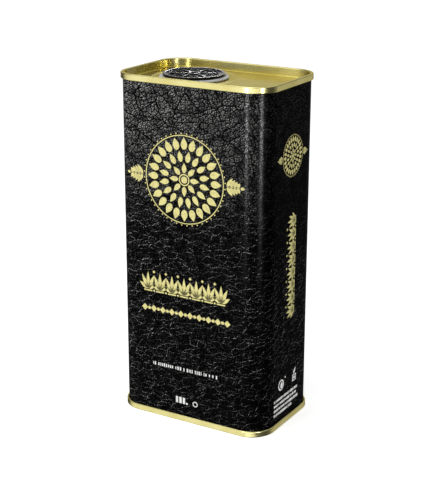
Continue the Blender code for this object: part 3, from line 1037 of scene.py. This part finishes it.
# %% Two films of ink
FRONT = (HALF_X - CORNER, HALF_Y)
SIDE = (HALF_Y - CORNER, HALF_X)
films = {
    "gold_ornament": (pale_gold_ink, (
        (front_gold, FRONT, 0.0), (side_gold, SIDE, 90.0), (front_gold, FRONT, 180.0),
    )),
    "white_marks": (white_ink, (
        (front_white, FRONT, 0.0), (side_white, SIDE, 90.0), (back_white, FRONT, 180.0),
        (left_white, SIDE, 270.0),
    )),
}
for name, (finish, layers) in films.items():
    film = bmesh.new()
    for artwork, (half_flat, reach), turn in layers:
        print_on(artwork, half_flat, reach, math.radians(turn), film)
    item = new_object(name, film)
    thicken(item, INK, -1.0)
    finish_piece(item, finish, "tin")

# %% [markdown]
# ## Studio
#
# The tin stands on a white floor in front of white. Shiny black shows what is around it, so the
# studio is more than one lamp: two tall narrow lamps draw the bright lines down the near corner,
# and a soft one overhead lights the panel. Black and gold want different light, so some lamps are
# cut off from all but one piece: a low one behind glints on the dial, and two cards brighten the
# rims of the gold ends. The air round the tin is bright towards the front left and dim towards the
# right side; that, with the painted shade in the print, is why that side looks darker.

# %% Floor
bm = bmesh.new()
bmesh.ops.create_grid(bm, x_segments=1, y_segments=1, size=3.0)
floor = new_object("floor", bm)
paper = Finish("white_paper", Roughness=0.9, Specular_IOR_Level=0.1, Emission_Strength=0.60)
tone = paper.noise(0.05, 3.0)
paper.set(Base_Color=paper.mix(tone, (0.80, 0.80, 0.80, 1.0), (0.84, 0.84, 0.84, 1.0)))
paper.set(Emission_Color=(1.0, 1.0, 1.0, 1.0))
floor.data.materials.append(paper.material)
floor.visible_glossy = False
floor.visible_shadow = False
print("floor", floor.name)

# %% Flat lamps
def lamp(name, azimuth, distance, height, size, strength):
    """A flat lamp facing the tin; azimuth 0 is straight in front, 90 to the right."""
    data = bpy.data.lights.new(name, "AREA")
    data.shape = "RECTANGLE"
    data.size, data.size_y = size
    data.energy = strength * size[0] * size[1] * math.pi
    item = bpy.data.objects.new(name, data)
    bpy.context.scene.collection.objects.link(item)
    angle = math.radians(azimuth)
    item.location = (distance * math.sin(angle), -distance * math.cos(angle), height)
    aim = Vector((0.0, 0.0, min(height, 0.20))) - item.location
    item.rotation_euler = aim.to_track_quat("-Z", "Y").to_euler()
    item.visible_camera = False
    return item


def only_for(item, pieces):
    """Lets a lamp show only as a reflection, and only in these pieces."""
    group = bpy.data.collections.new("lit_by_" + item.name)
    for piece in pieces:
        group.objects.link(bpy.data.objects[piece])
    item.light_linking.receiver_collection = group
    item.visible_diffuse = False


# %% Lamps round the tin
LAMP_DISTANCE = 0.75
ENDS = ["top_end_sheet", "bottom_end_sheet"]

for azimuth, strength in ((-8.0, 330.0), (58.0, 380.0)):
    strip = lamp("strip", azimuth, LAMP_DISTANCE, 0.15, (0.10, 0.54), 11.0)
    strip.visible_diffuse = False
    flagged = lamp("flagged_strip", azimuth, LAMP_DISTANCE, 0.025, (0.13, 0.19), strength)
    only_for(flagged, ["body_wall"])
lamp("overhead", -20.0, 0.25, 0.90, (0.7, 0.7), 1.4)
only_for(lamp("low_back", -150.0, 0.60, 0.345, (0.05, 0.04), 30.0), ["sifter_dial_face"])
only_for(lamp("right_card", 150.0, LAMP_DISTANCE, -0.17, (0.6, 0.6), 0.27), ENDS)
only_for(lamp("corner_card", 25.0, LAMP_DISTANCE, -0.12, (0.55, 0.60), 1.1), ENDS)
marks_fill = lamp("marks_fill", 112.0, 0.80, 0.25, (0.5, 0.5), 2.6)
only_for(marks_fill, ["white_marks"])
marks_fill.visible_diffuse = True
marks_fill.visible_glossy = False
lamp("front_fill", -25.0, 0.95, 0.45, (0.8, 0.6), 1.9).visible_glossy = False

# %% Air round the tin
world = bpy.data.worlds.new("studio")
world.use_nodes = True
bpy.context.scene.world = world
air = Board(world.node_tree)
way = air.node("ShaderNodeTexCoord")["Generated"]


def towards(x, y, z, start, end):
    """From 0 to 1 as the view turns to face a direction."""
    aim = Vector((x, y, z)).normalized()
    share = air.node("ShaderNodeVectorMath", {"operation": "DOT_PRODUCT"}, {0: way, 1: aim})
    return share["Value"].rise(start, end)


GLOWS = (  # direction, where the glow starts and is full, strength
    (-0.50, -0.80, -0.40, 0.45, 0.95, 0.92),
    (-0.48, 0.80, 0.35, 0.60, 0.97, 0.48),
    (0.48, 0.82, -0.20, 0.70, 0.97, 0.17),
    (0.0, 0.0, 1.0, 0.35, 0.90, 0.60),
)
brightness = 0.06
for x, y, z, start, end, strength in GLOWS:
    brightness = brightness + towards(x, y, z, start, end) * strength
seen = air.node("ShaderNodeLightPath")["Is Camera Ray"]
backdrop = world.node_tree.nodes["Background"]
air.feed(backdrop.inputs["Color"], (1.0, 1.0, 1.0, 1.0))
air.feed(backdrop.inputs["Strength"], seen + (1.0 - seen) * brightness)
bpy.context.scene.view_settings.view_transform = "Standard"
print("the air's nodes:", len(world.node_tree.nodes))

# %% [markdown]
# ## The model's size
#
# The looks must not change the tin's size, so the model's box is written down.

# %% Size
def as_lists(box):
    return [[round(value, 6) for value in corner] for corner in box]


print("cad box", as_lists(cad_box))
